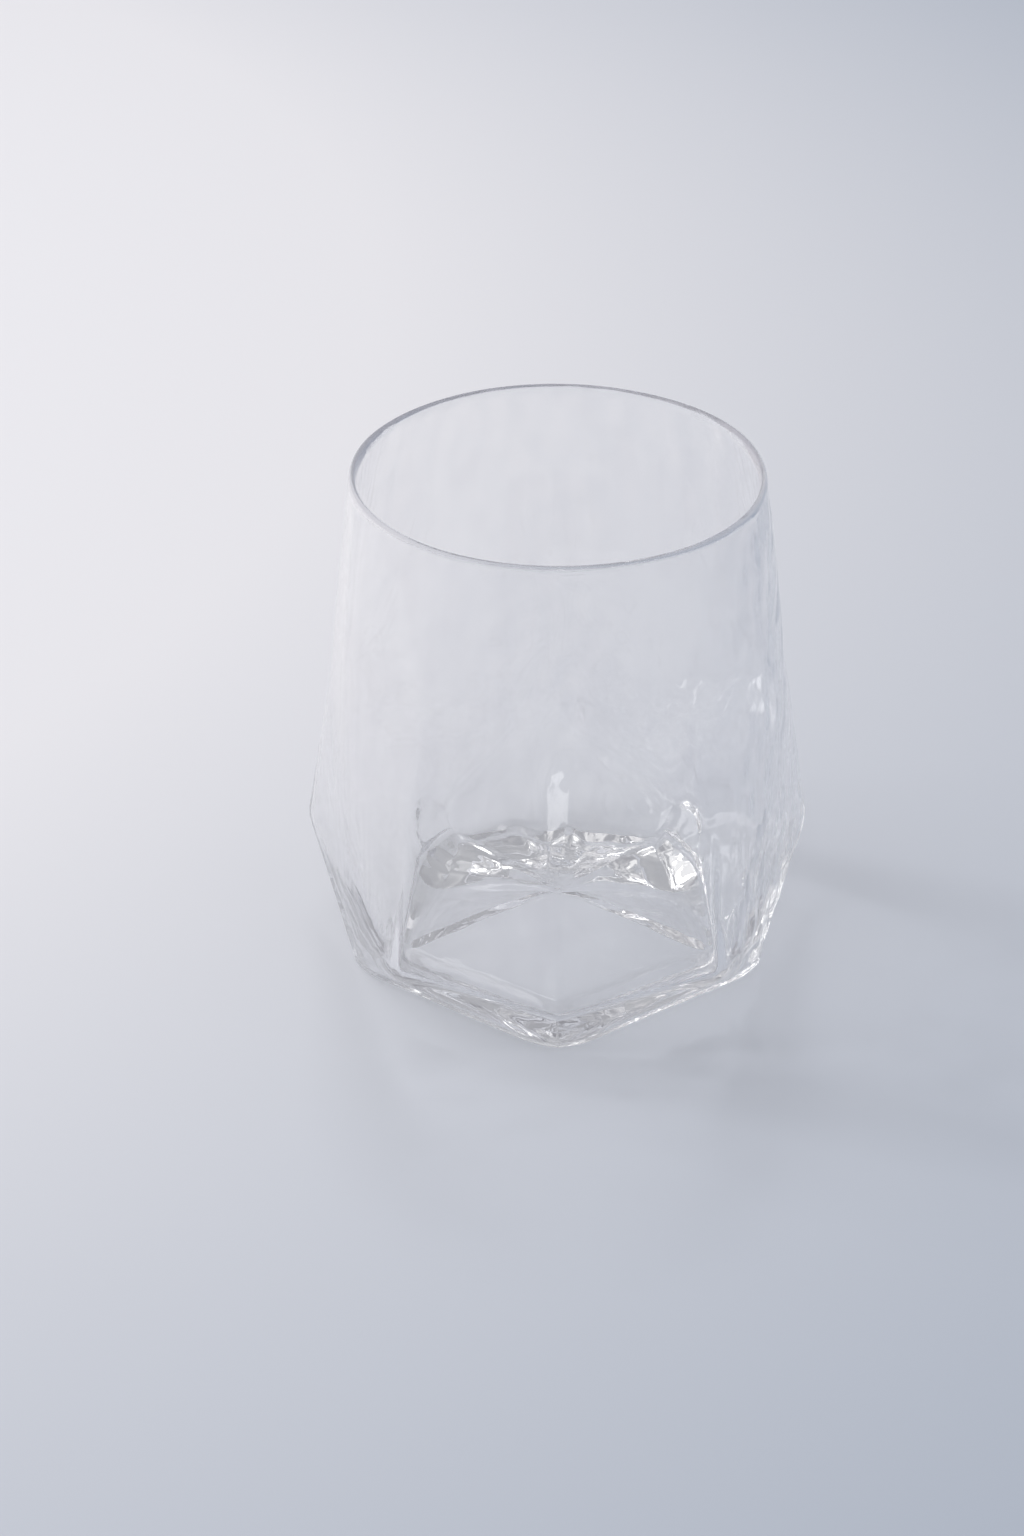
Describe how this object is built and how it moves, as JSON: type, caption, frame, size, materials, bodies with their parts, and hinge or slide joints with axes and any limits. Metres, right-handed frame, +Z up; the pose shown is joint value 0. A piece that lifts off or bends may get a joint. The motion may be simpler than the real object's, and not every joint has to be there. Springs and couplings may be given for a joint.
{
  "type": "rocks glass",
  "caption": "Drinking glass with a round rim that runs into flat panels, facets cutting off the panels' lower corners, and a thick base hollowed underneath.",
  "frame": {"origin": "middle of the glass's box on the plane it stands on; the glass's own axis is 4.4 mm towards -Y from it, because an odd number of sides doesn't lie evenly about the axis", "axes": "+Z up through the mouth, -Y towards a corner of the base and the middle of a panel"},
  "size_m": [0.0962, 0.0922, 0.0985],
  "materials": {
    "clear_glass": "clear colourless soda-lime glass, fire-polished rim, hammered outside"
  },
  "bodies": {
    "root": {"glass_body": "clear_glass"}
  },
  "joints": []
}
